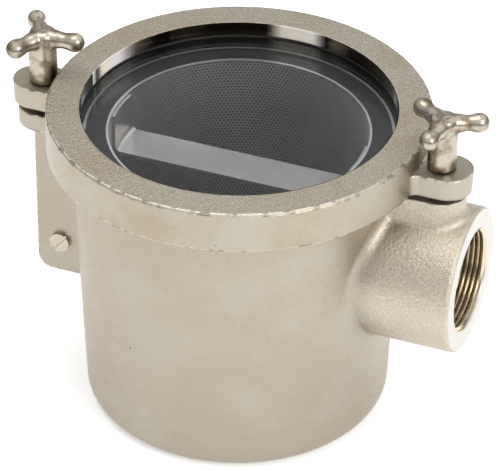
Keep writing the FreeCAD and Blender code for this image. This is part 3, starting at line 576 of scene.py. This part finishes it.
# ---------------------------------------------------------------- sight glass
# A polished disc of clear acrylic, its edges broken, clamped under the cover's lip. It is
# hardly rough, with the faint smears that wiping leaves.
clear_disc, tree, shader, where = new_finish("clear_polished_acrylic", 0.0, 0.02)
shader.inputs["Base Color"].default_value = tint("eef0f4")
shader.inputs["Transmission Weight"].default_value = 1.0
shader.inputs["IOR"].default_value = 1.49
wiped = add(tree, "TexNoise", {"Vector": where, "Scale": 1 / (25 * MM), "Detail": 6.0})
wiped_rough = add(tree, "MapRange", {"Value": wiped.outputs[0], "To Min": 0.0, "To Max": 0.04})
tree.links.new(wiped_rough.outputs[0], shader.inputs["Roughness"])
dress("sight_glass", clear_disc)
# so clear a disc casts next to no shadow on the basket
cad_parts["sight_glass"].visible_shadow = False


# ---------------------------------------------------------------- cover ring
# A second casting of the same metal, blasted on top, and turned and polished inside the lip, where bands of
# painted reflection run round the bore. The recess round the glass is darkened with painted shade.
ring_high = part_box("cover_ring")[1]
ring_radius = ring_high.y
lip_radius = ring_radius - 15.5 * MM
recess_radius = ring_radius - 8 * MM
lip_thickness = 6.5 * MM
ring_nickel, tree, shader, where, cut, coarse = cast_skin(
    "nickel_plated_ring_casting", skin_bump=0.60, cool="b1ab9c", warm="ab9f8a",
)
place = add(tree, "SeparateXYZ", {0: where})
from_axis = distance_from_axis(tree, place)
in_lip = add(tree, "Math", {0: from_axis, 1: lip_radius + 0.25 * MM}, operation="LESS_THAN")
tree.links.new(in_lip.outputs[0], cut.inputs[0])
on_top = add(tree, "Math", {0: place.outputs["Z"], 1: ring_high.z - 0.3 * MM}, operation="GREATER_THAN")
tree.links.new(on_top.outputs[0], coarse.inputs[0])

# painted reflections, bright and dark, alternate round the lip's bore: each stop is a share of a turn,
# counted from -X by way of -Y, and a tone; the brighter a tone, the rougher and the less metallic
round_about = add(tree, "TexGradient", {"Vector": where}, gradient_type="RADIAL")
bands = add(tree, "ValToRGB", {"Fac": round_about.outputs["Fac"]})
tarnish_and_painted_reflections = (
    (0.00, "3a352d"), (0.06, "2b2721"), (0.20, "8f8878"), (0.32, "2b2721"), (0.45, "4d453a"),
    (0.52, "1f1a14"), (0.60, "4a3826"), (0.68, "241f19"), (0.705, "7d7262"), (0.715, "2a251d"),
    (0.73, "fbf5ea"), (0.765, "f2ead9"), (0.78, "2a241c"), (0.90, "17130e"), (0.925, "6f6656"),
    (0.95, "f7eef2"), (0.98, "fff0de"), (0.99, "3a352d"),
)
for spot, code in tarnish_and_painted_reflections:
    stop = bands.color_ramp.elements.new(spot)
    stop.color = tint(code)
band_bright = add(tree, "RGBToBW", {"Color": bands.outputs["Color"]})
band_rough = add(tree, "MapRange", {"Value": band_bright.outputs[0], "To Min": 0.07, "To Max": 0.62})
band_metal = add(tree, "MapRange", {"Value": band_bright.outputs[0], "To Min": 1.0, "To Max": 0.15})
cast_rough = shader.inputs["Roughness"].links[0].from_socket
lip_metal = add(tree, "MapRange", {
    "Value": in_lip.outputs[0], "To Min": 1.0, "To Max": band_metal.outputs[0],
})
tree.links.new(lip_metal.outputs[0], shader.inputs["Metallic"])
lip_rough = add(tree, "MapRange", {
    "Value": in_lip.outputs[0], "To Min": cast_rough, "To Max": band_rough.outputs[0],
})
tree.links.new(lip_rough.outputs[0], shader.inputs["Roughness"])

# painted shade darkens the recess under the lip
lip_foot = ring_high.z - lip_thickness
under_lip = add(tree, "Math", {0: place.outputs["Z"], 1: lip_foot + face_margin}, operation="LESS_THAN")
in_ring = add(tree, "Math", {0: from_axis, 1: recess_radius}, operation="LESS_THAN")
recess = add(tree, "Math", {0: under_lip.outputs[0], 1: in_ring.outputs[0]}, operation="MULTIPLY")
cast_colour = shader.inputs["Base Color"].links[0].from_socket
banded = add(tree, "MixRGB", {
    "Fac": in_lip.outputs[0], "Color1": cast_colour, "Color2": bands.outputs["Color"],
})
recess_painted_shade = add(tree, "MixRGB", {
    "Fac": recess.outputs[0], "Color1": banded.outputs[0], "Color2": tint("262219"),
})
tree.links.new(recess_painted_shade.outputs[0], shader.inputs["Base Color"])
dress("cover_ring", ring_nickel)


# ---------------------------------------------------------------- hand nuts
# Three-armed hand nuts, each cast in one with its column and polished before plating, so that the arms flow
# into the hub. Bright metal, browned here and there, with painted shade in its hollows.
nut_low, nut_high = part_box("hand_nut_left")
stud_low, stud_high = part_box("stud_left")
stud_offset = -(stud_low.x + stud_high.x) / 2
nut_bore, nut_column = 4.08 * MM, 6.56 * MM
bore_end = stud_high.z + 2 * MM
hub_top = nut_high.z - 0.4 * MM
arm_level = hub_top - 4.3 * MM

# the column's radius and height: blind bore, foot, side, rounded hub and dimple
column_outline = (
    (0, bore_end), (nut_bore, bore_end), (nut_bore, nut_low.z), (nut_column, nut_low.z),
    (nut_column, hub_top - 3.0 * MM), (nut_column - 0.9 * MM, hub_top - 0.9 * MM),
    (nut_column - 2.6 * MM, hub_top), (2.6 * MM, hub_top), (1.6 * MM, hub_top - 0.8 * MM),
    (0, hub_top - 1.3 * MM),
)
# an arm's radius and its distance from the stud's axis, in millimetres: root, waist and ball
arm_outline = (
    (0, 0), (4.6, 0), (4.55, 4.0), (4.25, 7.0), (3.8, 9.4), (3.7, 11.0), (3.95, 12.6),
    (4.35, 14.0), (4.55, 15.6), (4.2, 17.4), (3.2, 19.0), (1.7, 19.9), (0, 20.2),
)

polished_nickel, tree, shader, where = new_finish("polished_nickel_casting", 1.0, 0.22)
browning = add(tree, "TexNoise", {"Vector": where, "Scale": 1 / (7 * MM), "Detail": 4.0})
browned = add(tree, "MapRange", {"Value": browning.outputs[0], "From Min": 0.47, "From Max": 0.68})
toned = add(tree, "MixRGB", {
    "Fac": browned.outputs[0], "Color1": tint("b4ac9d"), "Color2": tint("6b573d"),
})
# painted shade: hollows and creases, found by occlusion, are painted dark brown
hollows = add(tree, "AmbientOcclusion", {"Distance": 5 * MM}, samples=6)
painted_hollow_shade = add(tree, "MapRange", {"Value": hollows.outputs["AO"], "From Min": 0.85, "From Max": 0.40})
hollow_shaded = add(tree, "MixRGB", {
    "Fac": painted_hollow_shade.outputs[0], "Color1": toned.outputs[0], "Color2": tint("4a3b28"),
})
tree.links.new(hollow_shaded.outputs[0], shader.inputs["Base Color"])
polish = add(tree, "MapRange", {"Value": browned.outputs[0], "To Min": 0.25, "To Max": 0.42})
tree.links.new(polish.outputs[0], shader.inputs["Roughness"])
hammer = add(tree, "TexNoise", {"Vector": where, "Scale": 1 / (4 * MM), "Detail": 2.0})
uneven = add(tree, "Bump", {"Height": hammer.outputs[0], "Strength": 0.12, "Distance": 0.4 * MM})
tree.links.new(uneven.outputs[0], shader.inputs["Normal"])


def cast_hand_nut(name, node, body, axis_x, first_turn):
    """A hand nut on an upright axis: a column, and three arms from a first heading in degrees."""
    bm = bmesh.new()
    turn_form(bm, column_outline, Matrix.Translation((axis_x, 0, 0)), steps=40)
    arm_sizes = [(r * MM, z * MM) for r, z in arm_outline]
    for arm in range(3):
        heading = math.radians(first_turn + 120 * arm)
        place = Matrix.Translation((axis_x, 0, arm_level)) @ Matrix.Rotation(heading, 4, "Z")
        turn_form(bm, arm_sizes, place @ Matrix.Rotation(math.pi / 2, 4, "Y"), steps=40)
    bmesh.ops.remove_doubles(bm, verts=bm.verts[:], dist=0.001 * MM)
    bmesh.ops.recalc_face_normals(bm, faces=bm.faces[:])
    piece = finish_mesh(name, bm, polished_nickel, body)
    # the skin over them all is one casting, and buffing rounds the corners between them
    joined = piece.modifiers.new("one_casting", "REMESH")
    joined.mode = "VOXEL"
    joined.voxel_size = 0.45 * MM
    joined.use_smooth_shade = True
    buffed = piece.modifiers.new("buffed", "SMOOTH")
    buffed.factor = 0.5
    buffed.iterations = 9
    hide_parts(node)


cast_hand_nut("hand_nut_left_casting", "hand_nut_left", "left_nut", -stud_offset, first_turn=4.0)
cast_hand_nut("hand_nut_right_casting", "hand_nut_right", "right_nut", stud_offset, first_turn=24.5)


# ---------------------------------------------------------------- floor, light and camera
# A plain white lit bench in a pale surround, with a wide soft panel overhead, a tall narrow
# one on the left for the pot's upright sheen, and a strong one on the right.
bm = bmesh.new()
bmesh.ops.create_grid(bm, x_segments=1, y_segments=1, size=6.0)
mesh = bpy.data.meshes.new("bench_top")
bm.to_mesh(mesh)
bm.free()
bench = bpy.data.objects.new("bench_top", mesh)
bpy.context.scene.collection.objects.link(bench)

# a matt white board with a painted glow near the pot, though not under it, and painted shade that greys it
# far off
foot_radius = 60 * MM
bench_white, tree, shader, where = new_finish("matt_white_bench", 0.0, 0.9)
far = add(tree, "VectorMath", {0: where}, operation="LENGTH")
fall_off = add(tree, "MapRange", {"Value": far.outputs["Value"], "From Min": 0.6, "From Max": 2.2})
bench_tone = add(tree, "MixRGB", {
    "Fac": fall_off.outputs[0], "Color1": tint("f7f7f7"), "Color2": tint("a0a0a0"),
})
tree.links.new(bench_tone.outputs[0], shader.inputs["Base Color"])
shader.inputs["Emission Color"].default_value = tint("ffffff")
glow = add(tree, "MapRange", {
    "Value": far.outputs["Value"], "From Min": 0.6, "From Max": 1.6, "To Min": 0.30, "To Max": 0.0,
})
clear_of_foot = add(tree, "Math", {0: far.outputs["Value"], 1: foot_radius}, operation="GREATER_THAN")
lit = add(tree, "Math", {0: glow.outputs[0], 1: clear_of_foot.outputs[0]}, operation="MULTIPLY")
tree.links.new(lit.outputs[0], shader.inputs["Emission Strength"])
mesh.materials.append(bench_white)

# a long lens, high on the right of the front
camera = bpy.data.cameras.new("camera")
camera.sensor_width = 36.0
camera.lens = 238.06
camera.clip_start, camera.clip_end = 0.1, 20.0
holder = bpy.data.objects.new("camera", camera)
eye = Vector((0.454360, -1.163154, 0.952187))
ahead = Vector((-0.29514153, 0.76527667, -0.57205165))
level = ahead.to_track_quat("-Z", "Y").to_matrix().to_4x4()
holder.matrix_world = Matrix.Translation(eye) @ level @ Matrix.Rotation(math.radians(0.5443), 4, "Z")
bpy.context.scene.collection.objects.link(holder)
bpy.context.scene.camera = holder
bpy.context.scene.view_settings.view_transform = "Standard"

# the surround is dim at the skyline and on the left, and brighter towards the side that the
# flat glass and ring mirror to the eye; a small flag right there keeps the glass clear
world = bpy.data.worlds.new("pale_surround")
world.use_nodes = True
sky = world.node_tree
towards = add(sky, "TexCoord").outputs["Generated"]
mirrored = Vector((ahead.x, ahead.y, -ahead.z))
facing_back = add(sky, "VectorMath", {0: towards, 1: mirrored}, operation="DOT_PRODUCT")
behind = add(sky, "MapRange", {
    "Value": facing_back.outputs["Value"], "From Min": 0.15, "From Max": 0.95,
    "To Min": 1.0, "To Max": 1.20,
})
flagged = add(sky, "MapRange", {
    "Value": facing_back.outputs["Value"], "From Min": 0.965, "From Max": 0.988,
    "To Min": 1.0, "To Max": 0.30,
})
heading = add(sky, "SeparateXYZ", {0: towards})
skyline = add(sky, "MapRange", {
    "Value": heading.outputs["Z"], "From Min": 0.04, "From Max": 0.42, "To Min": 0.25, "To Max": 1.05,
})
leftward = add(sky, "MapRange", {
    "Value": heading.outputs["X"], "From Min": -0.9, "From Max": 0.2, "To Min": 0.65, "To Max": 1.0,
})
evened = add(sky, "Math", {0: behind.outputs[0], 1: leftward.outputs[0]}, operation="MULTIPLY")
graded = add(sky, "Math", {0: evened.outputs[0], 1: skyline.outputs[0]}, operation="MULTIPLY")
shaded = add(sky, "Math", {0: graded.outputs[0], 1: flagged.outputs[0]}, operation="MULTIPLY")
sky.links.new(shaded.outputs[0], sky.nodes["Background"].inputs["Strength"])
sky.nodes["Background"].inputs["Color"].default_value = (1.0, 1.0, 1.0, 1.0)
bpy.context.scene.world = world


def panel(name, at, towards, size, watts):
    """A rectangular soft light at a place, facing a point."""
    lamp = bpy.data.lights.new(name, "AREA")
    lamp.shape = "RECTANGLE"
    lamp.size, lamp.size_y = size
    lamp.energy = watts
    held = bpy.data.objects.new(name, lamp)
    held.location = at
    held.rotation_euler = (Vector(towards) - Vector(at)).to_track_quat("-Z", "Y").to_euler()
    bpy.context.scene.collection.objects.link(held)


panel("overhead_panel", at=(-0.2, -0.1, 1.5), towards=(0, 0, 0.1), size=(1.0, 1.0), watts=6)
panel("left_panel", at=(-1.3, -0.9, 0.7), towards=(0, 0, 0.1), size=(0.2, 1.0), watts=0.15)
panel("right_panel", at=(1.1, -0.6, 0.9), towards=(0.05, 0, 0.08), size=(0.6, 0.8), watts=7)
